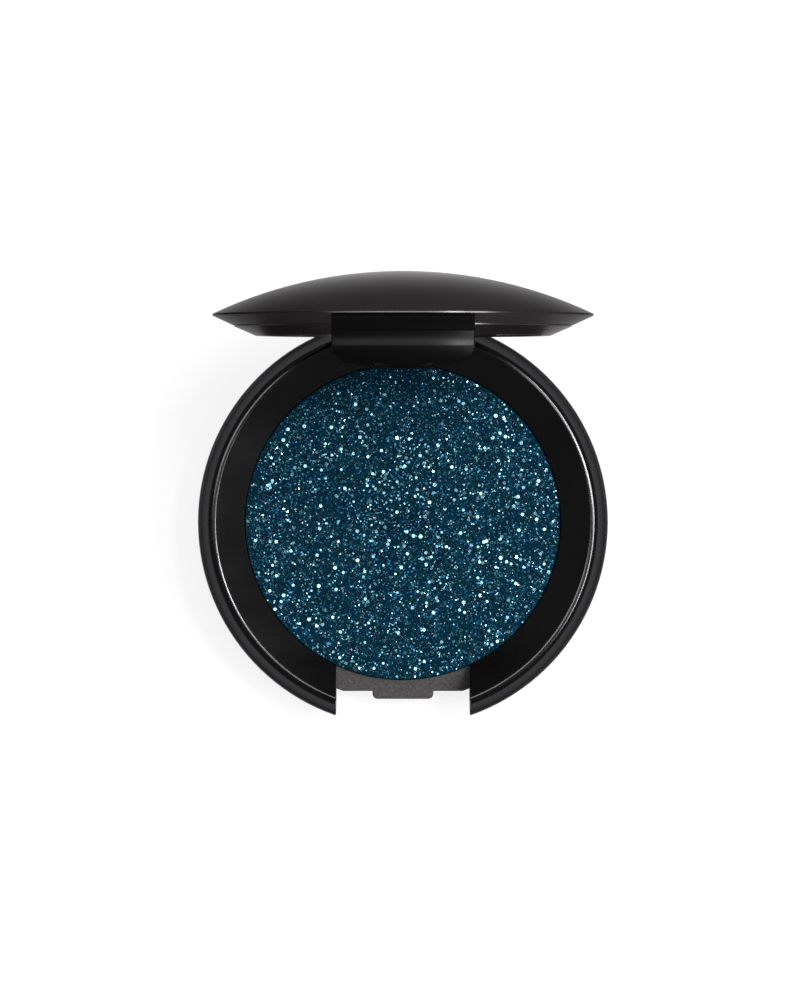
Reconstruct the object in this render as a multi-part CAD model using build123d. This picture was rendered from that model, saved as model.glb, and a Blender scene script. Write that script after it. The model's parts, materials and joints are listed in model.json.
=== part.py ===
from build123d import *
import math
import os

# Round makeup compact with one pressed pan, a hinged domed lid and a front catch.
# Millimetres.  The origin is the centre of the flat face the case rests on, +Z is up, +Y points
# to the hinge at the back and -Y to the catch at the front.  The lid is drawn shut, then opened.

# Lid position that the part is stored in, measured from shut
OPEN_ANGLE = 88.5

# Outer wall of the case
CASE_RADIUS = 35.0
WIDEST_Z = 5.5
FOOT_RADIUS = 30.0
CREST_RADIUS = 32.1
CREST_Z = 10.8
CREST_ROUND = 0.6
WALL = 1.4
FLOOR = 1.4

# Seam between the bottom shell and the rim ring
SEAM_Z = 8.0
SEAM_HALF_GAP = 0.13
SEAM_DEPTH = 0.45
LAP_DEPTH = 1.4
LAP_WALL = 1.1

# Conical band from the crest down to the pan
BAND_FOOT_RADIUS = 27.0
BAND_FOOT_Z = 6.6
BAND_LIP = 0.7
BAND_THICKNESS = 1.2

# Front notch for the lid's tongue, and rear notch for the hinge
NOTCH_HALF_WIDTH = 11.4
NOTCH_SHELL_Y = 28.4
NOTCH_EDGE_ROUND = 0.22
HINGE_NOTCH_HALF_WIDTH = 12.0
HINGE_NOTCH_Y = 28.6
HINGE_NOTCH_Z = 4.5

# Inner platform that carries the pan, the catch tab and the base's hinge knuckles
DECK_TOP = 5.6
DECK_THICKNESS = 1.6
DECK_RADIUS = 30.6
DECK_FRONT_Y = 28.85
WELL_RADIUS = 27.0
WELL_WALL = 1.2
WELL_FLOOR_TOP = 2.9
WELL_FLOOR = 0.9
TAB_HALF_WIDTH = 5.2
TAB_FRONT_Y = 30.2
TAB_ROUND = 0.9
LEDGE_ROUND = 0.2
PUSH_HOLE_RADIUS = 3.0

# Pan, its glue and the pressed cake
PAN_RADIUS = 26.8
PAN_WALL = 0.35
PAN_TOP = 6.2
GLUE_THICKNESS = 0.2
GLUE_DOT_RADIUS = 3.5
GLUE_CIRCLE_RADIUS = 16.0
GLUE_DOTS = 4
CAKE_BRIM_RADIUS = 26.7
CAKE_BRIM = 0.15
CAKE_CROWN = 0.2

# Label in a recess under the case
LABEL_RADIUS = 15.0
LABEL_THICKNESS = 0.2
LABEL_GAP = 0.1

# Hinge
HINGE_Y = 31.0
HINGE_Z = 7.0
BARREL_RADIUS = 2.1
PIN_RADIUS = 0.75
PIN_HOLD_GAP = 0.01
PIN_RUNNING_GAP = 0.05
LID_KNUCKLE_HALF = 7.0
BASE_KNUCKLE_START = 7.2
BASE_KNUCKLE_END = 11.6
WEB_LENGTH = 2.4
WEB_SETBACK = 0.2
WEB_FOOT_RISE = 0.4
WEB_TANGENT = math.radians(37)
ARM_ROOT_Y = 28.0
ARM_ROOT_LOW_Z = 9.8
ARM_ROOT_TOP_Z = 10.4
ARM_BACK = (31.1, 10.6)
ARM_HIP = (32.6, 9.0)

# Lid, as it stands when shut
LID_RADIUS = 31.12
LID_EDGE_Z = 10.8
LID_EDGE_LAND = 0.3
LID_EDGE_DRAFT = math.radians(6.5)
LID_EDGE_ROUND = 0.06
LID_RISE = 7.0
LID_WALL = 1.2
DOME_CAP_RADIUS = 12.0
CHAMFER_RADIUS = 27.8
CHAMFER_DROP = 1.69
FRAME_GROOVE = 0.25
FRAME_GROOVE_DEPTH = 0.5
FRAME_STEP = 0.22
FRAME_STEP_ROUND = 0.05
FRAME_FACE_RADIUS = 24.05
FRAME_DROP = 3.44
FRAME_WALL = 1.0
MIRROR_RADIUS = 22.6
MIRROR_GAP = 0.1
MIRROR_THICKNESS = 1.0
MIRROR_RECESS = 0.2
TAPE_RADIUS = 21.0
TAPE_THICKNESS = 0.2

# Tongue on the lid that closes the front notch, and its catch hook
TONGUE_HALF_WIDTH = 11.2
TONGUE_TOP_Z = 10.35
TONGUE_ROOT_Z = 9.0
TONGUE_TIP_Z = 1.9
TONGUE_SAG = 1.4
TONGUE_CORNER = 3.2
TONGUE_INSET = 0.2
TONGUE_WALL = 1.5
TONGUE_EDGE_ROUND = 0.3
TONGUE_LINE_DEPTH = 0.1
TONGUE_SHOULDER_OUT = 0.7
TONGUE_SHOULDER_RISE = 0.65
TONGUE_TOP_SETBACK = 1.2
HOOK_HALF_WIDTH = 4.5
HOOK_TIP_Y = 30.4
HOOK_TOP_Z = 3.9
HOOK_HEIGHT = 1.5
HOOK_NOSE = 0.5
HOOK_SLOPE = 1.2

FAR = 60.0
NEAR = 0.05

# The outer wall is two arcs that share a vertical tangent at the widest line
UPPER_RUN = CASE_RADIUS - CREST_RADIUS
UPPER_RISE = CREST_Z - WIDEST_Z
UPPER_ARC = (UPPER_RUN**2 + UPPER_RISE**2) / (2 * UPPER_RUN)
LOWER_RUN = CASE_RADIUS - FOOT_RADIUS
LOWER_ARC = (LOWER_RUN**2 + WIDEST_Z**2) / (2 * LOWER_RUN)

# The lid's edge is a narrow land that leans in slightly up to the foot of the dome
DOME_FOOT_RADIUS = LID_RADIUS - LID_EDGE_LAND * math.tan(LID_EDGE_DRAFT)
DOME_RADIUS = (DOME_FOOT_RADIUS**2 + LID_RISE**2) / (2 * LID_RISE)
DOME_CENTRE_Z = LID_EDGE_Z + LID_EDGE_LAND / 2 + LID_RISE - DOME_RADIUS


def wall_radius(height, inset=0.0):
    """Outer radius of the case at a height, less an inset measured square to the wall."""
    arc = UPPER_ARC if height > WIDEST_Z else LOWER_ARC
    return CASE_RADIUS - arc + math.sqrt((arc - inset) ** 2 - (height - WIDEST_Z) ** 2)


def wall_point(height, inset=0.0):
    return (wall_radius(height, inset), height)


def wall_arc(low, high, inset=0.0):
    """Arc of the outer wall between two heights on the same side of the widest line."""
    middle = (low + high) / 2
    return ThreePointArc(wall_point(low, inset), wall_point(middle, inset), wall_point(high, inset))


def spun(profile):
    """Solid of revolution of an outline drawn as radius against height."""
    return revolve(Plane.XZ * profile, axis=Axis.Z)


def disc(radius, low, high):
    return Pos(0, 0, low) * extrude(Circle(radius), high - low)


def block(x_half, y_range, z_range):
    """Box centred on X = 0, given by its ranges along Y and Z."""
    size = (2 * x_half, y_range[1] - y_range[0], z_range[1] - z_range[0])
    centre = (0, sum(y_range) / 2, sum(z_range) / 2)
    return Pos(*centre) * Box(*size)


def side_prism(points, x_start, x_end):
    """Prism along X of an outline drawn as Y against Z."""
    outline = make_face(Polyline(*points, close=True))
    return Pos(x_start, 0, 0) * extrude(Plane.YZ * outline, x_end - x_start)


def barrel(radius, x_start, x_end):
    """Cylinder on the hinge axis."""
    section = Pos(HINGE_Y, HINGE_Z) * Circle(radius)
    return Pos(x_start, 0, 0) * extrude(Plane.YZ * section, x_end - x_start)


def band_height(radius):
    """Height of the conical band at a radius."""
    slope = (CREST_Z - BAND_FOOT_Z) / (CREST_RADIUS - BAND_FOOT_RADIUS)
    return BAND_FOOT_Z + slope * (radius - BAND_FOOT_RADIUS)


def front_notch(back_y):
    return block(NOTCH_HALF_WIDTH, (-FAR, -back_y), (-FAR, FAR))


def hinge_notch():
    return block(HINGE_NOTCH_HALF_WIDTH, (HINGE_NOTCH_Y, FAR), (HINGE_NOTCH_Z, FAR))


def notch_edges(part):
    """Edges round the two side faces of the front notch."""
    faces = part.faces().filter_by(Plane.YZ).filter_by(lambda f: f.center().Y < 0)
    return faces.edges()


def bottom_shell():
    lip_z = SEAM_Z - SEAM_HALF_GAP
    inner_radius = CASE_RADIUS - WALL
    outline = make_face(
        Polyline((0, FLOOR), (0, 0), (FOOT_RADIUS, 0))
        + ThreePointArc((FOOT_RADIUS, 0), wall_point(WIDEST_Z / 2), wall_point(WIDEST_Z))
        + wall_arc(WIDEST_Z, lip_z)
        + Polyline(wall_point(lip_z), (inner_radius, lip_z), (inner_radius, WIDEST_Z))
        + ThreePointArc(
            (inner_radius, WIDEST_Z),
            wall_point((WIDEST_Z + FLOOR) / 2, WALL),
            wall_point(FLOOR, WALL),
        )
        + Line(wall_point(FLOOR, WALL), (0, FLOOR))
    )
    shell = spun(outline)
    shell -= disc(LABEL_RADIUS + LABEL_GAP, 0, LABEL_THICKNESS)
    shell -= front_notch(NOTCH_SHELL_Y)
    shell = fillet(notch_edges(shell).filter_by(GeomType.BSPLINE), NOTCH_EDGE_ROUND)
    return shell - hinge_notch()


def rim_ring():
    flange_z = SEAM_Z + SEAM_HALF_GAP
    seat_z = SEAM_Z - SEAM_HALF_GAP
    lap_radius = CASE_RADIUS - WALL
    inside_radius = lap_radius - LAP_WALL
    band_angle = math.atan2(CREST_Z - BAND_FOOT_Z, CREST_RADIUS - BAND_FOOT_RADIUS)
    underside = BAND_THICKNESS / math.cos(band_angle)
    groove_radius = wall_radius(flange_z) - SEAM_DEPTH
    outline = make_face(
        Polyline(
            (BAND_FOOT_RADIUS + BAND_LIP, DECK_TOP),
            (BAND_FOOT_RADIUS, DECK_TOP),
            (BAND_FOOT_RADIUS, BAND_FOOT_Z),
            (CREST_RADIUS, CREST_Z),
        )
        + wall_arc(flange_z, CREST_Z)
        + Polyline(
            wall_point(flange_z),
            (groove_radius, flange_z),
            (groove_radius, seat_z),
            (lap_radius, seat_z),
            (lap_radius, seat_z - LAP_DEPTH),
            (inside_radius, seat_z - LAP_DEPTH),
            (inside_radius, band_height(inside_radius) - underside),
            (BAND_FOOT_RADIUS + BAND_LIP, DECK_TOP),
        )
    )
    crest = outline.vertices().sort_by(Axis.Y)[-1]
    outline = fillet(crest, CREST_ROUND)
    ring = spun(outline) - front_notch(0)
    ring = fillet(notch_edges(ring), NOTCH_EDGE_ROUND)
    return ring - hinge_notch()


def inner_platform():
    deck = disc(DECK_RADIUS, DECK_TOP - DECK_THICKNESS, DECK_TOP)
    deck -= block(FAR, (-FAR, -DECK_FRONT_Y), (-FAR, FAR))
    tab = block(TAB_HALF_WIDTH, (-TAB_FRONT_Y, -WELL_RADIUS), (DECK_TOP - DECK_THICKNESS, DECK_TOP))
    tab = fillet(tab.edges().filter_by(Axis.Z).group_by(Axis.Y)[0], TAB_ROUND)
    deck += tab
    ledge = deck.edges().filter_by(lambda e: e.center().Y < -DECK_FRONT_Y + NEAR)
    deck = fillet(ledge.filter_by(lambda e: e.center().Z > DECK_TOP - NEAR), LEDGE_ROUND)
    platform = deck + disc(WELL_RADIUS + WELL_WALL, FLOOR, DECK_TOP)
    platform -= disc(WELL_RADIUS, WELL_FLOOR_TOP, FAR)
    platform -= disc(WELL_RADIUS, 0, WELL_FLOOR_TOP - WELL_FLOOR)
    platform -= disc(PUSH_HOLE_RADIUS, 0, FAR)
    platform -= block(BASE_KNUCKLE_START, (HINGE_NOTCH_Y, FAR), (-FAR, FAR))
    for side in (-1, 1):
        platform += base_knuckle(side)
    platform -= barrel(PIN_RADIUS + PIN_HOLD_GAP, -FAR, FAR)
    return platform


def base_knuckle(side):
    """One hinge knuckle of the base, with its web down to the deck."""
    deck_bottom = DECK_TOP - DECK_THICKNESS
    front_y = HINGE_Y - BARREL_RADIUS
    root_y = front_y - WEB_LENGTH
    back_y = HINGE_Y - WEB_SETBACK
    tangent_y = BARREL_RADIUS * math.sin(WEB_TANGENT)
    tangent_z = BARREL_RADIUS * math.cos(WEB_TANGENT)
    web = [
        (root_y, deck_bottom),
        (back_y, deck_bottom),
        (back_y, HINGE_NOTCH_Z + WEB_FOOT_RISE),
        (HINGE_Y + tangent_y, HINGE_Z - tangent_z),
        (HINGE_Y, HINGE_Z),
        (front_y, HINGE_Z),
        (front_y, DECK_TOP),
        (root_y, DECK_TOP),
    ]
    start, end = sorted((side * BASE_KNUCKLE_START, side * BASE_KNUCKLE_END))
    return side_prism(web, start, end) + barrel(BARREL_RADIUS, start, end)


def pan():
    bottom = WELL_FLOOR_TOP + GLUE_THICKNESS
    return disc(PAN_RADIUS, bottom, PAN_TOP) - disc(PAN_RADIUS - PAN_WALL, bottom + PAN_WALL, FAR)


def glitter_cake():
    bottom = WELL_FLOOR_TOP + GLUE_THICKNESS + PAN_WALL
    inner = PAN_RADIUS - PAN_WALL
    brim_top = PAN_TOP + CAKE_BRIM
    crown_radius = (CAKE_BRIM_RADIUS**2 + CAKE_CROWN**2) / (2 * CAKE_CROWN)
    half = CAKE_BRIM_RADIUS / 2
    half_z = brim_top + CAKE_CROWN - crown_radius + math.sqrt(crown_radius**2 - half**2)
    outline = make_face(
        Polyline(
            (0, brim_top + CAKE_CROWN),
            (0, bottom),
            (inner, bottom),
            (inner, PAN_TOP),
            (CAKE_BRIM_RADIUS, PAN_TOP),
            (CAKE_BRIM_RADIUS, brim_top),
        )
        + ThreePointArc((CAKE_BRIM_RADIUS, brim_top), (half, half_z), (0, brim_top + CAKE_CROWN))
    )
    return spun(outline)


def pan_glue_dots():
    dot = disc(GLUE_DOT_RADIUS, WELL_FLOOR_TOP, WELL_FLOOR_TOP + GLUE_THICKNESS)
    return Compound([spot * dot for spot in PolarLocations(GLUE_CIRCLE_RADIUS, GLUE_DOTS)])


def bottom_label():
    return disc(LABEL_RADIUS, 0, LABEL_THICKNESS)


def hinge_pin():
    return barrel(PIN_RADIUS, -BASE_KNUCKLE_END, BASE_KNUCKLE_END)


def dome_height(radius, inset=0.0):
    """Height of the lid's dome, less an inset measured square to it."""
    return DOME_CENTRE_Z + math.sqrt((DOME_RADIUS - inset) ** 2 - radius**2)


def dome_arc(radius, inset=0.0):
    """Arc of the dome from a radius up to its top."""
    start = (radius, dome_height(radius, inset))
    middle = (radius / 2, dome_height(radius / 2, inset))
    return ThreePointArc(start, middle, (0, dome_height(0, inset)))


def dome_ball(inset):
    """Ball that the dome is part of, turned so that its poles lie off the lid."""
    return Pos(0, 0, DOME_CENTRE_Z) * Rot(90, 0, 0) * Sphere(DOME_RADIUS - inset)


def dome_cap():
    """Middle of the dome, made without a pole so that its surface stays even."""
    return (disc(DOME_CAP_RADIUS, 0, FAR) & dome_ball(0)) - dome_ball(LID_WALL)


def lid_shell():
    chamfer_end = (CHAMFER_RADIUS, LID_EDGE_Z - CHAMFER_DROP)
    outline = make_face(
        dome_arc(DOME_FOOT_RADIUS)
        + Line((0, dome_height(0)), (0, dome_height(0, LID_WALL)))
        + dome_arc(CHAMFER_RADIUS, LID_WALL)
        + Polyline(
            (CHAMFER_RADIUS, dome_height(CHAMFER_RADIUS, LID_WALL)),
            chamfer_end,
            (LID_RADIUS, LID_EDGE_Z - LID_EDGE_LAND / 2),
            (DOME_FOOT_RADIUS, LID_EDGE_Z + LID_EDGE_LAND / 2),
        )
    )
    edge = outline.vertices().sort_by(Axis.X)[-2:]
    outline = fillet(edge, LID_EDGE_ROUND)
    shell = spun(outline) - disc(DOME_CAP_RADIUS, 0, FAR) + dome_cap()
    shell += lid_knuckle() + tongue() + catch_hook()
    shell -= barrel(PIN_RADIUS + PIN_RUNNING_GAP, -FAR, FAR)
    return shell


def lid_knuckle():
    """Centre knuckle of the hinge, with its arm up to the lid's chamfer."""
    front_y = HINGE_Y - BARREL_RADIUS
    arm = [
        (ARM_ROOT_Y, ARM_ROOT_TOP_Z),
        ARM_BACK,
        ARM_HIP,
        (HINGE_Y + BARREL_RADIUS, HINGE_Z),
        (front_y, HINGE_Z),
        (front_y, ARM_HIP[1]),
        (ARM_ROOT_Y, ARM_ROOT_LOW_Z),
    ]
    prism = side_prism(arm, -LID_KNUCKLE_HALF, LID_KNUCKLE_HALF)
    return prism + barrel(BARREL_RADIUS, -LID_KNUCKLE_HALF, LID_KNUCKLE_HALF)


def tongue():
    """Curved tongue that carries the case's outer wall across the front notch."""
    outer = TONGUE_INSET
    inner = TONGUE_INSET + TONGUE_WALL
    low = TONGUE_TIP_Z - TONGUE_INSET
    outline = make_face(
        Line(wall_point(low, outer), wall_point(low, inner))
        + wall_arc(low, WIDEST_Z, inner)
        + wall_arc(WIDEST_Z, TONGUE_ROOT_Z, inner)
        + Polyline(
            wall_point(TONGUE_ROOT_Z, inner),
            (CHAMFER_RADIUS + TONGUE_SHOULDER_OUT, TONGUE_ROOT_Z + TONGUE_SHOULDER_RISE),
            (LID_RADIUS - TONGUE_TOP_SETBACK, TONGUE_TOP_Z),
            wall_point(TONGUE_TOP_Z, outer),
        )
        + wall_arc(WIDEST_Z, TONGUE_TOP_Z, outer)
        + wall_arc(low, WIDEST_Z, outer)
    )
    solid = spun(outline) & tongue_front()
    faces = [f for f in solid.faces() if f.geom_type == GeomType.TORUS and is_outer(f)]
    return fillet(open_boundary(faces), TONGUE_EDGE_ROUND) - seam_line()


def seam_line():
    """Fine groove that carries the case's seam across the tongue."""
    face_radius = wall_radius(SEAM_Z, TONGUE_INSET)
    outline = make_face(
        Polyline(
            (face_radius - TONGUE_LINE_DEPTH, SEAM_Z),
            (face_radius + SEAM_DEPTH, SEAM_Z - SEAM_HALF_GAP - SEAM_DEPTH),
            (face_radius + SEAM_DEPTH, SEAM_Z + SEAM_HALF_GAP + SEAM_DEPTH),
            close=True,
        )
    )
    return spun(outline)


def is_outer(face):
    """True for a face of the tongue on its outer side."""
    centre = face.center()
    return math.hypot(centre.X, centre.Y) > wall_radius(centre.Z, TONGUE_INSET + TONGUE_WALL / 2)


def open_boundary(faces):
    """Edges that belong to just one face of a group."""
    edges = [e for f in faces for e in f.edges()]
    return [e for e in edges if sum(e.is_same(other) for other in edges) == 1]


def tongue_front():
    """Front view of the tongue as a prism along Y: straight sides, bowed lower edge."""
    side_z = TONGUE_TIP_Z + TONGUE_SAG
    top_z = CREST_Z
    face = make_face(
        Polyline(
            (TONGUE_HALF_WIDTH, side_z),
            (TONGUE_HALF_WIDTH, top_z),
            (-TONGUE_HALF_WIDTH, top_z),
            (-TONGUE_HALF_WIDTH, side_z),
        )
        + ThreePointArc((-TONGUE_HALF_WIDTH, side_z), (0, TONGUE_TIP_Z), (TONGUE_HALF_WIDTH, side_z))
    )
    corners = face.vertices().group_by(Axis.Y)[0]
    face = fillet(corners, TONGUE_CORNER)
    return extrude(Plane.XZ * face, FAR)


def catch_hook():
    """Wedge inside the tongue that holds under the platform's tab."""
    top = HOOK_TOP_Z
    root_y = -wall_radius(HOOK_TOP_Z, TONGUE_INSET + TONGUE_WALL / 2)
    profile = [
        (root_y, top),
        (-HOOK_TIP_Y, top),
        (-HOOK_TIP_Y, top - HOOK_NOSE),
        (-HOOK_TIP_Y - HOOK_SLOPE, top - HOOK_HEIGHT),
        (root_y, top - HOOK_HEIGHT),
    ]
    return side_prism(profile, -HOOK_HALF_WIDTH, HOOK_HALF_WIDTH)


def lid_frame():
    face_z = LID_EDGE_Z - FRAME_DROP
    cone_z = LID_EDGE_Z - CHAMFER_DROP - FRAME_STEP
    plate_z = face_z + MIRROR_RECESS + MIRROR_THICKNESS + TAPE_THICKNESS
    groove_radius = CHAMFER_RADIUS - FRAME_GROOVE
    groove_top = LID_EDGE_Z - CHAMFER_DROP + FRAME_GROOVE_DEPTH
    rim_z = dome_height(CHAMFER_RADIUS, LID_WALL)
    outline = make_face(
        Polyline(
            (0, plate_z),
            (MIRROR_RADIUS + MIRROR_GAP, plate_z),
            (MIRROR_RADIUS + MIRROR_GAP, face_z),
            (FRAME_FACE_RADIUS, face_z),
            (groove_radius, cone_z),
            (groove_radius, groove_top),
            (CHAMFER_RADIUS, groove_top),
            (CHAMFER_RADIUS, rim_z),
            (CHAMFER_RADIUS - FRAME_WALL, rim_z),
            (CHAMFER_RADIUS - FRAME_WALL, plate_z + FRAME_WALL),
            (0, plate_z + FRAME_WALL),
            close=True,
        )
    )
    step = outline.vertices().sort_by_distance((groove_radius, cone_z))[0]
    return spun(fillet(step, FRAME_STEP_ROUND))


def mirror():
    low = LID_EDGE_Z - FRAME_DROP + MIRROR_RECESS
    return disc(MIRROR_RADIUS, low, low + MIRROR_THICKNESS)


def mirror_tape():
    low = LID_EDGE_Z - FRAME_DROP + MIRROR_RECESS + MIRROR_THICKNESS
    return disc(TAPE_RADIUS, low, low + TAPE_THICKNESS)


def opened(piece):
    """A piece of the shut lid, turned back about the hinge to the stored position."""
    return piece.rotate(Axis((0, HINGE_Y, HINGE_Z), (-1, 0, 0)), OPEN_ANGLE)


BASE_PIECES = {
    "bottom_shell": bottom_shell,
    "rim_ring": rim_ring,
    "inner_platform": inner_platform,
    "pan": pan,
    "glitter_cake": glitter_cake,
    "pan_glue_dots": pan_glue_dots,
    "bottom_label": bottom_label,
    "hinge_pin": hinge_pin,
}
LID_PIECES = {
    "lid_shell": lid_shell,
    "lid_frame": lid_frame,
    "mirror": mirror,
    "mirror_tape": mirror_tape,
}


def main():
    os.makedirs("parts", exist_ok=True)
    for name, make in BASE_PIECES.items():
        export_step(make(), f"parts/{name}.step")
    for name, make in LID_PIECES.items():
        export_step(opened(make()), f"parts/{name}.step")


main()
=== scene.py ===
import bpy
import json
import math
import random
from mathutils import Matrix, Vector


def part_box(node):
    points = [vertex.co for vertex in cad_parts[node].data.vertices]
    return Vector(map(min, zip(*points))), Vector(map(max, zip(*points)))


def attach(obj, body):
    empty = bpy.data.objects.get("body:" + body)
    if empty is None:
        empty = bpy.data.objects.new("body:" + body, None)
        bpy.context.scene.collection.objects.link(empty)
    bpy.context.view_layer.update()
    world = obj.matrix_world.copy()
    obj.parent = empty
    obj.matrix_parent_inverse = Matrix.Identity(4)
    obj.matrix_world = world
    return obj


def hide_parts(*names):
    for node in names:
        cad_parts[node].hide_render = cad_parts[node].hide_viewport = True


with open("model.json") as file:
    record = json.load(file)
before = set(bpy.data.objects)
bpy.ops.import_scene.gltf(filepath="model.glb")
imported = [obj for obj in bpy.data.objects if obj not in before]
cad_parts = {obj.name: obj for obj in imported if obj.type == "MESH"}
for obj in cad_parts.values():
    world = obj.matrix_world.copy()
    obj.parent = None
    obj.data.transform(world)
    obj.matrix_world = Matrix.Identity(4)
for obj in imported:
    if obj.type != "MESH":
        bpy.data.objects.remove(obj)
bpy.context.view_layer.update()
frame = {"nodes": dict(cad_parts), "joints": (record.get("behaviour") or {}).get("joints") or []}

NODES = frame["nodes"]
MM = 0.001

random.seed(20)

# ---------------------------------------------------------------- places, most read from the frame
# Pan and cake
cake_low, cake_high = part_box("glitter_cake")
CAKE_RADIUS = cake_high.x
CAKE_TOP = cake_high.z
CAKE_CROWN = 0.20 * MM
CAKE_BRIM_Z = CAKE_TOP - CAKE_CROWN
PAN_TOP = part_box("pan")[1].z
PAN_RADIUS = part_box("pan")[1].x

# Lid's tongue, in front of the lid frame and near the top of the open lid
TONGUE_BACK_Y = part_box("lid_frame")[0].y + 3.0 * MM
TONGUE_LOW_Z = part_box("lid_shell")[1].z - 12.5 * MM
TONGUE_HALF_WIDTH = 11.2 * MM

# Distances from the lid's middle line between which its dome turns darker and less glossy towards
# its ends: painted shade
SHADE_FLANK_START = 4.0 * MM
SHADE_FLANK_FULL = 22.0 * MM

# Rim: a conical band, a crest of circular section and the outer wall.
# A lean is the outward part of a surface's unit normal.
CREST_ROUND = 0.6 * MM
CREST_RADIUS = 32.131 * MM
BAND_UPPER_RADIUS = 31.0 * MM
BAND_LEAN = -0.636
WALL_LEAN = 0.602
WALL_RADIUS = CREST_RADIUS + WALL_LEAN * CREST_ROUND
# Easing and shifting the crest's lean widens its highlight
CREST_EASE = 0.75
CREST_SHIFT = 0.06
LEAN_FADE = 0.02
EDGE_FADE = 0.05 * MM

# Lid, standing open about the hinge
hinge = frame["joints"][0]
HINGE_PLACE = Vector(hinge["pos_m"])
LID_SWING = math.radians(-hinge["range_deg"][0])
LID_AXIS = Vector((0.0, math.sin(LID_SWING), math.cos(LID_SWING)))
LID_BACKWARD = Vector((0.0, math.cos(LID_SWING), -math.sin(LID_SWING)))
LID_EDGE_RISE = 3.8 * MM
LID_EDGE_PLANE = LID_AXIS.dot(HINGE_PLACE) + LID_EDGE_RISE

# The dome is part of a ball whose centre lies on the closed case's axis, below the case
DOME_RADIUS = 72.523 * MM
DOME_CENTRE_Z = -54.573 * MM
DOME_CENTRE = (
    HINGE_PLACE
    - LID_BACKWARD * HINGE_PLACE.y
    + LID_AXIS * (DOME_CENTRE_Z - HINGE_PLACE.z)
)


# ---------------------------------------------------------------- material helpers
class Nodes:
    """A material with a Principled shader, and short calls that add and link nodes."""

    def __init__(self, name):
        self.material = bpy.data.materials.new(name)
        self.material.use_nodes = True
        self.tree = self.material.node_tree
        self.shader = self.tree.nodes["Principled BSDF"]
        coords = self.tree.nodes.new("ShaderNodeTexCoord")
        self.place = coords.outputs["Object"]

    def add(self, kind, **settings):
        node = self.tree.nodes.new(kind)
        for key, value in settings.items():
            setattr(node, key, value)
        return node

    def link(self, source, target):
        self.tree.links.new(source, target)

    def set(self, **values):
        """Numbers and colours set on the shader's own sockets."""
        for key, value in values.items():
            self.shader.inputs[key.replace("_", " ")].default_value = value

    def stretched(self, scale):
        """Object coordinates stretched along each axis."""
        mapping = self.add("ShaderNodeMapping")
        mapping.inputs["Scale"].default_value = scale
        self.link(self.place, mapping.inputs["Vector"])
        return mapping.outputs["Vector"]

    def noise(self, scale, detail=2.0, rough=0.5, vector=None):
        node = self.add("ShaderNodeTexNoise")
        node.inputs["Scale"].default_value = scale
        node.inputs["Detail"].default_value = detail
        node.inputs["Roughness"].default_value = rough
        self.link(vector or self.place, node.inputs["Vector"])
        return node.outputs["Fac"]

    def cells(self, scale, feature="F1", output="Distance"):
        node = self.add("ShaderNodeTexVoronoi", feature=feature)
        node.inputs["Scale"].default_value = scale
        self.link(self.place, node.inputs["Vector"])
        return node.outputs[output]

    def ramp(self, value, low, high, out_low=0.0, out_high=1.0):
        node = self.add("ShaderNodeMapRange")
        node.inputs["From Min"].default_value = low
        node.inputs["From Max"].default_value = high
        node.inputs["To Min"].default_value = out_low
        node.inputs["To Max"].default_value = out_high
        self.link(value, node.inputs["Value"])
        return node.outputs["Result"]

    def mix(self, factor, first, second):
        """Colour mix; each of the two is a colour or a node output."""
        node = self.add("ShaderNodeMix", data_type="RGBA")
        self.link(factor, node.inputs["Factor"])
        for value, socket in ((first, node.inputs[6]), (second, node.inputs[7])):
            if isinstance(value, tuple):
                socket.default_value = (*value, 1.0)
            else:
                self.link(value, socket)
        return node.outputs[2]

    def maths(self, operation, first, second):
        node = self.add("ShaderNodeMath", operation=operation)
        for value, socket in ((first, node.inputs[0]), (second, node.inputs[1])):
            if isinstance(value, (int, float)):
                socket.default_value = value
            else:
                self.link(value, socket)
        return node.outputs[0]

    def blend(self, factor, first, second):
        """Mix of a node output with a number."""
        node = self.add("ShaderNodeMix", data_type="FLOAT")
        self.link(factor, node.inputs["Factor"])
        self.link(first, node.inputs[2])
        node.inputs[3].default_value = second
        return node.outputs[0]

    def vector(self, operation, first, second=None):
        """Vector maths node; each of the two is a vector or a node output."""
        node = self.add("ShaderNodeVectorMath", operation=operation)
        for value, socket in ((first, node.inputs[0]), (second, node.inputs[1])):
            if isinstance(value, Vector):
                socket.default_value = value
            elif value is not None:
                self.link(value, socket)
        return node

    def split(self, vector):
        """X, Y and Z of a vector, by name."""
        node = self.add("ShaderNodeSeparateXYZ")
        self.link(vector, node.inputs[0])
        return node.outputs

    def axis_distance(self):
        """Distance from the case's upright axis."""
        return self.vector("LENGTH", self.stretched((1.0, 1.0, 0.0))).outputs["Value"]

    def side_distance(self):
        """Distance to the left or right of the middle line."""
        return self.maths("ABSOLUTE", self.split(self.place)["X"], 0.0)

    def steer(self, share, plain, wanted):
        """Mix of two normals."""
        node = self.add("ShaderNodeMix", data_type="VECTOR")
        self.link(share, node.inputs[0])
        self.link(plain, node.inputs[4])
        self.link(wanted, node.inputs[5])
        return node.outputs[1]

    def bump(self, height, depth, strength=1.0, below=None):
        """Bump of a height field, its depth in metres, laid over another bump."""
        node = self.add("ShaderNodeBump")
        node.inputs["Strength"].default_value = strength
        node.inputs["Distance"].default_value = depth
        self.link(height, node.inputs["Height"])
        if below is not None:
            self.link(below, node.inputs["Normal"])
        self.link(node.outputs["Normal"], self.shader.inputs["Normal"])
        return node.outputs["Normal"]

    def colour(self, output):
        self.link(output, self.shader.inputs["Base Color"])

    def roughness(self, output):
        self.link(output, self.shader.inputs["Roughness"])


# The middle of a noise texture, where most of its values lie
NOISE_MIDDLE = (0.3, 0.7)
# Upright part of the normal at which a surface starts, and fully counts, as facing up
FACING_UP = (0.15, 0.25)
# How far a point may lie off the dome's ball and still belong to it
ON_DOME = (0.05 * MM, 0.04 * MM)


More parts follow.
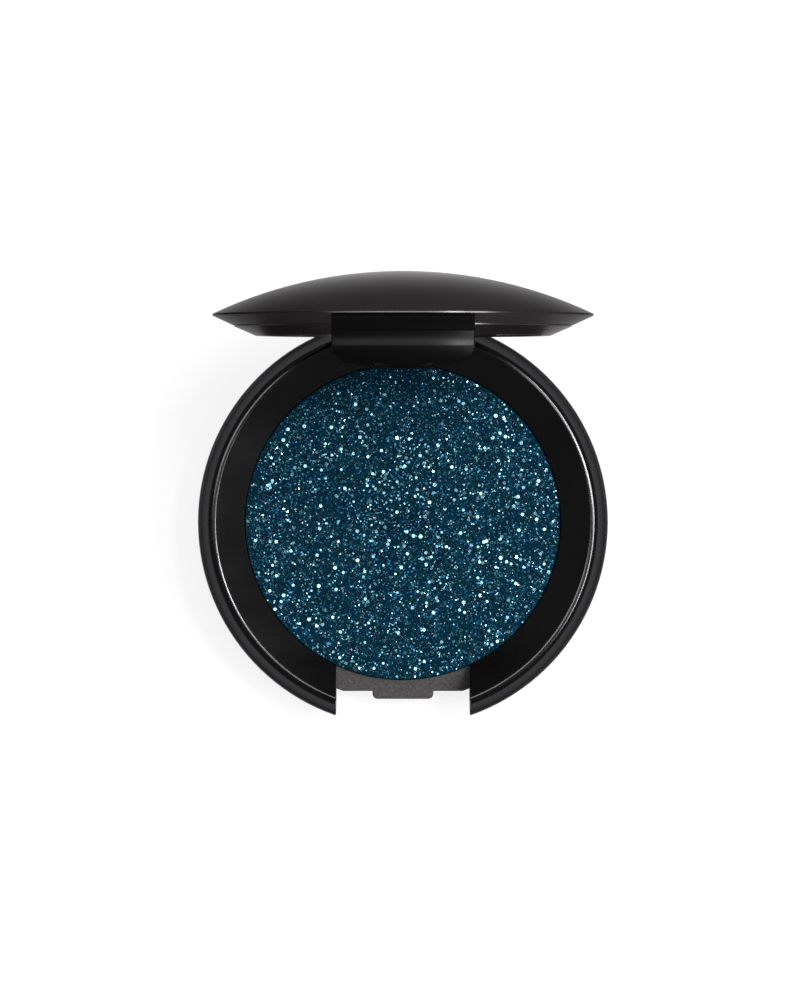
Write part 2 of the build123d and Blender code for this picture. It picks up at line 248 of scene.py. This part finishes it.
def crest_normal(m):
    """Normal of the rim's band and crest from their outline, so that the highlight runs even."""
    radius = m.axis_distance()
    outward = m.vector("NORMALIZE", m.stretched((1.0, 1.0, 0.0)))
    across = m.ramp(radius, CREST_RADIUS - CREST_ROUND, CREST_RADIUS + CREST_ROUND, -1.0, 1.0)
    on_round = m.ramp(across, BAND_LEAN, BAND_LEAN + LEAN_FADE)
    eased = m.maths("ADD", m.maths("MULTIPLY", across, CREST_EASE), CREST_SHIFT)
    on_band = m.maths("SUBTRACT", 1.0, on_round)
    lean = m.maths(
        "ADD",
        m.maths("MULTIPLY", on_band, BAND_LEAN),
        m.maths("MULTIPLY", on_round, eased),
    )
    rise = m.maths("SQRT", m.maths("SUBTRACT", 1.0, m.maths("MULTIPLY", lean, lean)), 0.0)
    leaning = m.vector("SCALE", outward.outputs["Vector"])
    m.link(lean, leaning.inputs["Scale"])
    upward = m.add("ShaderNodeCombineXYZ")
    m.link(rise, upward.inputs["Z"])
    rounded = m.vector("ADD", leaning.outputs["Vector"], upward.outputs["Vector"])
    surface = m.add("ShaderNodeNewGeometry").outputs
    on_top = m.ramp(m.split(surface["True Normal"])["Z"], *FACING_UP)
    outside = m.ramp(radius, BAND_UPPER_RADIUS, BAND_UPPER_RADIUS + EDGE_FADE)
    inside = m.ramp(across, WALL_LEAN, WALL_LEAN - LEAN_FADE)
    share = m.maths("MULTIPLY", on_top, m.maths("MULTIPLY", outside, inside))
    return m.steer(share, surface["Normal"], rounded.outputs["Vector"])


def dome_normal(m):
    """Normal of the lid's dome taken from its ball, so that no seam shows in its gloss."""
    from_centre = m.vector("SUBTRACT", m.place, DOME_CENTRE).outputs["Vector"]
    length = m.vector("LENGTH", from_centre).outputs["Value"]
    off = m.maths("ABSOLUTE", m.maths("SUBTRACT", length, DOME_RADIUS), 0.0)
    turned = m.add(
        "ShaderNodeVectorTransform",
        vector_type="NORMAL",
        convert_from="OBJECT",
        convert_to="WORLD",
    )
    m.link(from_centre, turned.inputs[0])
    unit = m.vector("NORMALIZE", turned.outputs[0])
    plain = m.add("ShaderNodeNewGeometry").outputs["Normal"]
    return m.steer(m.ramp(off, *ON_DOME), plain, unit.outputs["Vector"])


CLOUD_SCALE = 55.0
GRAIN_SCALE = 5200.0
GRAIN_DEPTH = 0.0008 * MM
HAIRLINE_SCALE = 40.0
HAIRLINE_BAND = (0.69, 0.73)
HAIRLINE_DEPTH = -0.0010 * MM
HAIRLINE_SHARE = 0.3
HAIRLINE_GAIN = 1.8
CLOUD_DULLING = 0.03
GRAIN_DULLING = 0.02


def lacquer(name, faint, strong, edge_on, rough, metallic, along, regions=(), shaped=None):
    """Glossy black moulding that stays dark when seen at a slant, with faint hairline scratches.

    A region with a look of its own is (mask helper, colour, roughness, metallic).
    """
    m = Nodes(name)
    cloud = m.noise(CLOUD_SCALE, 3.0)
    fine = m.noise(GRAIN_SCALE, 2.0)
    hair = m.noise(HAIRLINE_SCALE, 2.0, 0.6, m.stretched(along))
    scratch = m.ramp(hair, *HAIRLINE_BAND)
    shade = m.mix(m.ramp(cloud, *NOISE_MIDDLE), faint, strong)
    bright = tuple(c * HAIRLINE_GAIN for c in strong)
    shade = m.mix(m.maths("MULTIPLY", scratch, HAIRLINE_SHARE), shade, bright)
    cloudy = m.ramp(cloud, *NOISE_MIDDLE, rough - CLOUD_DULLING, rough + CLOUD_DULLING)
    grainy = m.ramp(fine, *NOISE_MIDDLE, -GRAIN_DULLING, GRAIN_DULLING)
    worn = m.maths("ADD", cloudy, grainy)
    glaze = None
    for mask_of, tint, dullness, share in regions:
        mask = mask_of(m)
        shade = m.mix(mask, shade, tint)
        worn = m.blend(mask, worn, dullness)
        if glaze is None:
            glaze = m.ramp(mask, 0.0, 1.0, metallic, share)
        else:
            glaze = m.blend(mask, glaze, share)
    if glaze is not None:
        m.link(glaze, m.shader.inputs["Metallic"])
    m.colour(shade)
    m.roughness(worn)
    m.set(Metallic=metallic, Specular_IOR_Level=0.0)
    m.shader.inputs["Specular Tint"].default_value = (*edge_on, 1.0)
    below = m.bump(fine, GRAIN_DEPTH, below=shaped(m) if shaped else None)
    m.bump(scratch, HAIRLINE_DEPTH, below=below)
    return m.material


# How far past the lid's edge plane its inner side starts, and fully counts
INNER_DEPTH = (0.10 * MM, 0.25 * MM)
TONGUE_EDGE_FADE = 0.1 * MM
TONGUE_FOOT_FADE = 0.5 * MM


def inner_mask(m):
    """1 on the lid's side that faces the case when shut, 0 on its dome."""
    across = m.vector("DOT_PRODUCT", m.place, LID_AXIS).outputs["Value"]
    start, full = INNER_DEPTH
    return m.ramp(across, LID_EDGE_PLANE - start, LID_EDGE_PLANE - full)


def painted_shade_flank_mask(m):
    """Painted shade: 0 down the middle of the lid, rising to 1 at its left and right ends, which are
    painted darker.
    """
    return m.ramp(m.side_distance(), SHADE_FLANK_START, SHADE_FLANK_FULL)


def wall_mask(m):
    """1 on the rim's outer wall, 0 inside it."""
    return m.ramp(m.axis_distance(), WALL_RADIUS, WALL_RADIUS + EDGE_FADE)


def tongue_mask(m):
    """1 on the lid's tongue, 0 on the rest of the lid."""
    place = m.split(m.place)
    inside = m.ramp(place["Y"], TONGUE_BACK_Y, TONGUE_BACK_Y - TONGUE_EDGE_FADE)
    above = m.ramp(place["Z"], TONGUE_LOW_Z, TONGUE_LOW_Z + TONGUE_FOOT_FADE)
    edge = TONGUE_HALF_WIDTH + TONGUE_EDGE_FADE
    between = m.ramp(m.side_distance(), edge, TONGUE_HALF_WIDTH)
    return m.maths("MULTIPLY", between, m.maths("MULTIPLY", inside, above))


EROSION_SCALE = 2300.0
EROSION_DEPTH = 0.08 * MM
PIT_SCALE = 2600.0
PIT_DEPTH = 0.03 * MM
PLATFORM_DARK = (0.009, 0.0079, 0.0083)
PLATFORM_LIGHT = (0.034, 0.0305, 0.032)
PLATFORM_PIT = (0.040, 0.036, 0.038)


def eroded_plastic(name):
    """Spark-eroded moulding: coarse matt pits in a grey-brown plastic."""
    m = Nodes(name)
    coarse = m.noise(EROSION_SCALE, 4.0, 0.65)
    pits = m.cells(PIT_SCALE)
    tone = m.mix(m.ramp(coarse, 0.35, 0.65), PLATFORM_DARK, PLATFORM_LIGHT)
    m.colour(m.mix(m.ramp(pits, 0.0, 0.25), PLATFORM_PIT, tone))
    m.roughness(m.ramp(coarse, *NOISE_MIDDLE, 0.5, 0.8))
    m.set(Specular_IOR_Level=0.2)
    below = m.bump(coarse, EROSION_DEPTH, 0.8)
    m.bump(pits, PIT_DEPTH, 0.5, below=below)
    return m.material


LINE_SCALE = 60.0
LINE_DEPTH = 0.003 * MM
ROUND_Z = (4.0, 4.0, 220.0)
TARNISH_SCALE = 180.0
TARNISH_SHADE = 0.7


def drawn_metal(name, tint, rough):
    """Drawn or ground metal with fine lines round the Z axis and a little tarnish."""
    m = Nodes(name)
    lines = m.noise(LINE_SCALE, 3.0, 0.6, m.stretched(ROUND_Z))
    tarnish = m.noise(TARNISH_SCALE, 3.0)
    dull = tuple(c * TARNISH_SHADE for c in tint)
    m.colour(m.mix(m.ramp(tarnish, 0.4, 0.75), tint, dull))
    m.roughness(m.ramp(lines, *NOISE_MIDDLE, rough - 0.08, rough + 0.1))
    m.set(Metallic=1.0)
    m.bump(lines, LINE_DEPTH)
    return m.material


HAZE_SCALE = 90.0
SILVERED = (0.86, 0.87, 0.88)
SILVERED_HAZE = (0.78, 0.79, 0.80)


def mirror_glass(name):
    """Silvered mirror with a faint haze of handling."""
    m = Nodes(name)
    haze = m.noise(HAZE_SCALE, 4.0, 0.6)
    m.colour(m.mix(m.ramp(haze, 0.45, 0.8), SILVERED, SILVERED_HAZE))
    m.roughness(m.ramp(haze, 0.4, 0.8, 0.01, 0.07))
    m.set(Metallic=1.0)
    return m.material


ADHESIVE_SCALE = 420.0
ADHESIVE_SHADE = 0.8
ADHESIVE_PIT_DEPTH = 0.02 * MM


def adhesive(name, tint):
    """Cured adhesive or foam: soft, cloudy and slightly pitted."""
    m = Nodes(name)
    cloud = m.noise(ADHESIVE_SCALE, 3.0)
    deep = tuple(c * ADHESIVE_SHADE for c in tint)
    m.colour(m.mix(m.ramp(cloud, *NOISE_MIDDLE), tint, deep))
    m.roughness(m.ramp(cloud, *NOISE_MIDDLE, 0.45, 0.7))
    m.bump(cloud, ADHESIVE_PIT_DEPTH)
    return m.material


LABEL_RING_INNER = (13.3 * MM, 13.35 * MM)
LABEL_RING_OUTER = (13.7 * MM, 13.65 * MM)
LABEL_TOOTH_SCALE = 3000.0
LABEL_TOOTH_DEPTH = 0.004 * MM
LABEL_DARK = (0.030, 0.030, 0.032)
LABEL_LIGHT = (0.042, 0.042, 0.044)
LABEL_RING = (0.35, 0.35, 0.35)


def label_film(name):
    """Blank printed film: fine paper tooth under a satin varnish, with a plain pale border ring."""
    m = Nodes(name)
    tooth = m.noise(LABEL_TOOTH_SCALE, 3.0)
    distance = m.axis_distance()
    ring_start = m.ramp(distance, *LABEL_RING_INNER)
    ring_end = m.ramp(distance, *LABEL_RING_OUTER)
    paper = m.mix(m.ramp(tooth, *NOISE_MIDDLE), LABEL_DARK, LABEL_LIGHT)
    m.colour(m.mix(m.maths("MULTIPLY", ring_start, ring_end), paper, LABEL_RING))
    m.roughness(m.ramp(tooth, *NOISE_MIDDLE, 0.35, 0.5))
    m.bump(tooth, LABEL_TOOTH_DEPTH)
    return m.material


TEAL_BLUE = (0.0012, 0.0135, 0.0325)
TEAL_GREEN = (0.0018, 0.0170, 0.0260)
BINDER_SHADE = 0.5
BINDER_GLINT = (0.003, 0.020, 0.032)
BINDER_CELLS = 4300.0
BINDER_DEPTH = 0.10 * MM
TEAL_DRIFT_SCALE = 700.0
TEAL_DRIFT = (0.35, 0.65)


def glitter_binder(name):
    """Dark bed that the glitter is pressed into: grains of teal and blue, broken by fine pits."""
    m = Nodes(name)
    grain = m.cells(BINDER_CELLS, output="Color")
    parts = m.add("ShaderNodeSeparateColor")
    m.link(grain, parts.inputs["Color"])
    patch = m.noise(TEAL_DRIFT_SCALE, 4.0)
    shades = [tuple(c * BINDER_SHADE for c in tone) for tone in (TEAL_BLUE, TEAL_GREEN)]
    deep = m.mix(m.ramp(patch, *TEAL_DRIFT), *shades)
    m.colour(m.mix(m.maths("POWER", parts.outputs["Red"], 4.0), deep, BINDER_GLINT))
    m.roughness(m.ramp(parts.outputs["Green"], 0.0, 1.0, 0.5, 0.8))
    m.set(Specular_IOR_Level=0.0)
    m.bump(m.cells(BINDER_CELLS), BINDER_DEPTH, 0.9)
    return m.material


SATIN_SCALE = 5000.0
SATIN_DULLING = 0.06


def satin_film(name, strength, rough):
    """Dyed film of the fine grains: teal that drifts between blue and green."""
    m = Nodes(name)
    patch = m.noise(TEAL_DRIFT_SCALE, 4.0)
    fine = m.noise(SATIN_SCALE, 1.0)
    blue = tuple(c * strength for c in TEAL_BLUE)
    green = tuple(c * strength for c in TEAL_GREEN)
    m.colour(m.mix(m.ramp(patch, *TEAL_DRIFT), blue, green))
    m.roughness(m.ramp(fine, *NOISE_MIDDLE, rough - SATIN_DULLING, rough + SATIN_DULLING))
    m.set(Specular_IOR_Level=0.03)
    return m.material


SCUFF_SCALE = 2600.0
SCUFF_SHADE = 0.6


def silver_film(name, tint, rough):
    """Metallised film of the coarse flakes, lightly scuffed."""
    m = Nodes(name)
    scuff = m.noise(SCUFF_SCALE, 2.0)
    m.colour(m.mix(m.ramp(scuff, 0.4, 0.8), tint, tuple(c * SCUFF_SHADE for c in tint)))
    m.roughness(m.ramp(scuff, *NOISE_MIDDLE, rough - 0.03, rough + 0.05))
    m.set(Metallic=1.0)
    return m.material


# ---------------------------------------------------------------- materials of the CAD pieces
def dress(node, material):
    NODES[node].data.materials.clear()
    NODES[node].data.materials.append(material)


# Each lacquer has a faint and a strong tone, and the tint it mirrors when seen edge-on
CASE = ((0.034, 0.034, 0.0355), (0.044, 0.044, 0.0455), (0.36, 0.36, 0.365))
LID = ((0.0310, 0.0285, 0.0295), (0.0360, 0.0335, 0.0345), (0.445, 0.438, 0.441))
LATERAL = (260.0, 9.0, 9.0)
UPRIGHT = (9.0, 9.0, 260.0)
OUTER_WALL = (wall_mask, (0.038, 0.038, 0.0395), 0.13, 1.0)
# Painted shade: the lid's left and right ends get a darker colour and less metallic finish
PAINTED_SHADE_FLANKS = (painted_shade_flank_mask, (0.0140, 0.0130, 0.0134), 0.22, 0.50)
INNER_SIDE = (inner_mask, (0.0340, 0.0315, 0.0325), 0.26, 0.55)
TONGUE = (tongue_mask, (0.0060, 0.0058, 0.0059), 0.28, 0.75)
LID_REGIONS = (PAINTED_SHADE_FLANKS, INNER_SIDE, TONGUE)

dress("bottom_shell", lacquer("case_gloss", *CASE, 0.22, 1.0, LATERAL))
dress("rim_ring", lacquer("rim_gloss", *CASE, 0.21, 1.0, LATERAL, (OUTER_WALL,), crest_normal))
dress("lid_shell", lacquer("lid_gloss", *LID, 0.22, 0.96, UPRIGHT, LID_REGIONS, dome_normal))
dress("lid_frame", lacquer("lid_frame_gloss", *LID, 0.24, 0.75, UPRIGHT))
dress("inner_platform", eroded_plastic("platform_eroded"))
dress("pan", drawn_metal("pan_tinplate", (0.60, 0.61, 0.62), 0.30))
dress("hinge_pin", drawn_metal("pin_steel", (0.55, 0.55, 0.56), 0.22))
dress("mirror", mirror_glass("mirror_silvered"))
dress("mirror_tape", adhesive("tape_foam", (0.62, 0.62, 0.60)))
dress("pan_glue_dots", adhesive("cured_glue", (0.66, 0.60, 0.46)))
dress("bottom_label", label_film("label_film"))


# ---------------------------------------------------------------- pressed glitter
def new_piece(name, vertices, faces, materials):
    mesh = bpy.data.meshes.new(name)
    mesh.from_pydata(vertices, [], faces)
    mesh.update()
    piece = bpy.data.objects.new(name, mesh)
    bpy.context.scene.collection.objects.link(piece)
    for material in materials:
        mesh.materials.append(material)
    return piece


def crown(radius):
    """Height of the pressed cake's surface at a distance from its centre."""
    return CAKE_BRIM_Z + (CAKE_TOP - CAKE_BRIM_Z) * (1 - (radius / CAKE_RADIUS) ** 2)


BED_RINGS = 150
BED_STEPS = 480
BED_DEPTH = 0.12 * MM
BED_GRAIN = 0.035 * MM
BED_REACH = PAN_RADIUS + 0.03 * MM
LIP_GAP = 0.01 * MM
LIP_WIDTH = 0.45 * MM
# Rings at the middle over which the grain fades in, so that their narrow faces stay flat
SMOOTH_RINGS = 10


def glitter_bed():
    """Closed disc of binder with a grainy top, run out over the pan's lip."""
    rows = []
    for ring in range(1, BED_RINGS + 1):
        radius = BED_REACH * ring / BED_RINGS
        height = max(crown(radius) - BED_DEPTH, PAN_TOP + 2 * LIP_GAP + BED_GRAIN)
        rows.append((radius, height, min(1.0, ring / SMOOTH_RINGS)))
    inner = BED_REACH - LIP_WIDTH
    rows.append((BED_REACH, PAN_TOP + LIP_GAP, 0.0))
    rows.append((inner, PAN_TOP + LIP_GAP, 0.0))
    rows.append((inner, cake_low.z, 0.0))
    vertices = [(0.0, 0.0, CAKE_TOP - BED_DEPTH)]
    for radius, height, grainy in rows:
        for step in range(BED_STEPS):
            angle = 2 * math.pi * step / BED_STEPS
            lift = grainy * random.uniform(-BED_GRAIN, BED_GRAIN)
            vertices.append((radius * math.cos(angle), radius * math.sin(angle), height + lift))
    vertices.append((0.0, 0.0, cake_low.z))
    faces = [(0, 1 + step, 1 + (step + 1) % BED_STEPS) for step in range(BED_STEPS)]
    for row in range(len(rows) - 1):
        here, there = 1 + row * BED_STEPS, 1 + (row + 1) * BED_STEPS
        for step in range(BED_STEPS):
            following = (step + 1) % BED_STEPS
            faces.append((here + step, there + step, there + following, here + following))
    last = 1 + (len(rows) - 1) * BED_STEPS
    centre = len(vertices) - 1
    faces += [(centre, last + (step + 1) % BED_STEPS, last + step) for step in range(BED_STEPS)]
    return new_piece("glitter_bed", vertices, faces, [glitter_binder("glitter_binder")])


def flake(centre, size, tilt, heading, sides):
    """Corners of one flat flake, tilted towards a heading."""
    turn = Matrix.Rotation(heading, 3, "Z") @ Matrix.Rotation(tilt, 3, "Y")
    spin = random.uniform(0, 2 * math.pi)
    corners = []
    for corner in range(sides):
        angle = spin + 2 * math.pi * corner / sides
        corners.append(centre + turn @ Vector((size * math.cos(angle), size * math.sin(angle), 0.0)))
    return corners


FLAKE_SIDES = 6
FLAKE_LEAN = (math.radians(2.0), math.radians(5.5))
STEEPEST = 1.2


def glitter_flakes(name, batches, materials):
    """Flakes scattered evenly over the cake.

    A batch is (count, smallest and largest radius, tilt spread, deepest, material weights).
    """
    vertices, faces, slots = [], [], []
    for count, sizes, spread, deepest, weights in batches:
        reach = BED_REACH - sizes[1]
        for _ in range(count):
            radius = reach * math.sqrt(random.random())
            angle = random.uniform(0, 2 * math.pi)
            size = random.uniform(*sizes)
            lean_x = random.gauss(FLAKE_LEAN[0], spread)
            lean_y = random.gauss(FLAKE_LEAN[1], spread)
            tilt = math.hypot(lean_x, lean_y)
            reach_down = size * math.sin(min(tilt, STEEPEST))
            sunk = reach_down + random.uniform(0.0, deepest)
            height = max(crown(radius) - sunk, PAN_TOP + LIP_GAP + reach_down)
            centre = Vector((radius * math.cos(angle), radius * math.sin(angle), height))
            first = len(vertices)
            vertices += flake(centre, size, tilt, math.atan2(lean_y, lean_x), FLAKE_SIDES)
            faces.append(tuple(range(first, first + FLAKE_SIDES)))
            slots.append(random.choices(range(len(weights)), weights)[0])
    piece = new_piece(name, vertices, faces, materials)
    piece.data.polygons.foreach_set("material_index", slots)
    return piece


FINE_SPREAD = math.radians(16)
GLINT_SPREAD = math.radians(9)
COARSE_SPREAD = math.radians(4.5)
FINE_SIZES = (0.09 * MM, 0.17 * MM)
GLINT_SIZES = (0.10 * MM, 0.18 * MM)
COARSE_SIZES = (0.22 * MM, 0.34 * MM)
FINE_COUNT = 20000
GLINT_COUNT = 1100
COARSE_COUNT = 440
FINE_DEPTH = 0.12 * MM
GLINT_DEPTH = 0.04 * MM
COARSE_DEPTH = 0.02 * MM
FINE_WEIGHTS = (3.4, 2.4, 3.4, 3.2, 1.8, 4.0, 3.2)
GLINT_WEIGHTS = (3, 3, 3)
COARSE_WEIGHTS = (4, 2, 1)
FILM_STRENGTHS = (0.12, 0.65, 1.8, 3.6, 6.0)
fine_films = [
    satin_film(f"fine_film_{level}", strength, 0.5) for level, strength in enumerate(FILM_STRENGTHS)
]
fine_films += [
    silver_film("grain_film_dim", (0.021, 0.071, 0.100), 0.34),
    silver_film("grain_film_pale", (0.072, 0.178, 0.222), 0.36),
]
silver_films = [
    silver_film("silver_film_pale", (0.152, 0.276, 0.326), 0.15),
    silver_film("silver_film_soft", (0.092, 0.190, 0.235), 0.16),
    silver_film("silver_film_dim", (0.042, 0.115, 0.149), 0.18),
]
bed = glitter_bed()
fine_flakes = glitter_flakes(
    "glitter_fine",
    [(FINE_COUNT, FINE_SIZES, FINE_SPREAD, FINE_DEPTH, FINE_WEIGHTS)],
    fine_films,
)
coarse_flakes = glitter_flakes(
    "glitter_coarse",
    [
        (COARSE_COUNT, COARSE_SIZES, COARSE_SPREAD, COARSE_DEPTH, COARSE_WEIGHTS),
        (GLINT_COUNT, GLINT_SIZES, GLINT_SPREAD, GLINT_DEPTH, GLINT_WEIGHTS),
    ],
    silver_films,
)
for piece in (bed, fine_flakes, coarse_flakes):
    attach(piece, "base")
    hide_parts("glitter_cake")


# ---------------------------------------------------------------- floor, light and camera
FLOOR_ALBEDO = 0.10
FLOOR_GLOW = 0.85
FLOOR_MOTTLE = 0.01
FLOOR_REACH = 3.0
WORLD_STRENGTH = 0.16
# Name, place, target, size and radiance; placed to put the highlights along the rim's crest
SOFTBOXES = (
    ("strip", (0.30, 0.235, 1.05), (0.30, 0.235, 0.0), (2.6, 0.20), 9.5),
    ("side", (1.15, 0.18, 1.10), (0.0, 0.0, 0.0), (1.9, 0.30), 34.0),
    ("key", (0.60, 0.20, 1.05), (0.0, 0.0, 0.0), (0.16, 0.16), 110.0),
)
CAMERA_PLACE = (-0.0005, 0.00375, 0.750)
CAMERA_LENS = 157.0
CAMERA_SENSOR = 36.0


def floor():
    """Pale floor with a low glow, which keeps it white right up to the case."""
    reach = FLOOR_REACH
    corners = [(-reach, -reach, 0), (reach, -reach, 0), (reach, reach, 0), (-reach, reach, 0)]
    m = Nodes("pale_floor")
    cloud = m.noise(1.5, 2.0)
    low, high = FLOOR_ALBEDO - FLOOR_MOTTLE, FLOOR_ALBEDO + FLOOR_MOTTLE
    m.colour(m.mix(m.ramp(cloud, *NOISE_MIDDLE), (low, low, low), (high, high, high)))
    m.set(Roughness=0.9, Specular_IOR_Level=0.1, Emission_Strength=FLOOR_GLOW)
    m.shader.inputs["Emission Color"].default_value = (1.0, 1.0, 1.0, 1.0)
    ground = new_piece("floor", corners, [(0, 1, 2, 3)], [m.material])


def softbox(name, place, target, size, radiance):
    """Rectangular area light of a given radiance, aimed at a point, its long side along X."""
    light = bpy.data.lights.new(name, "AREA")
    light.shape = "RECTANGLE"
    light.size, light.size_y = size
    light.energy = radiance * math.pi * size[0] * size[1]
    lamp = bpy.data.objects.new(name, light)
    lamp.location = place
    aim = Vector(target) - Vector(place)
    lamp.rotation_euler = aim.to_track_quat("-Z", "Y").to_euler()
    bpy.context.scene.collection.objects.link(lamp)


def studio():
    world = bpy.data.worlds.new("studio")
    bpy.context.scene.world = world
    world.use_nodes = True
    background = world.node_tree.nodes["Background"]
    background.inputs["Color"].default_value = (1.0, 1.0, 1.0, 1.0)
    background.inputs["Strength"].default_value = WORLD_STRENGTH
    for box in SOFTBOXES:
        softbox(*box)


def camera():
    data = bpy.data.cameras.new("camera")
    data.lens = CAMERA_LENS
    data.sensor_width = CAMERA_SENSOR
    shot = bpy.data.objects.new("camera", data)
    shot.location = CAMERA_PLACE
    bpy.context.scene.collection.objects.link(shot)
    bpy.context.scene.camera = shot


floor()
studio()
camera()
bpy.context.scene.view_settings.view_transform = "Standard"
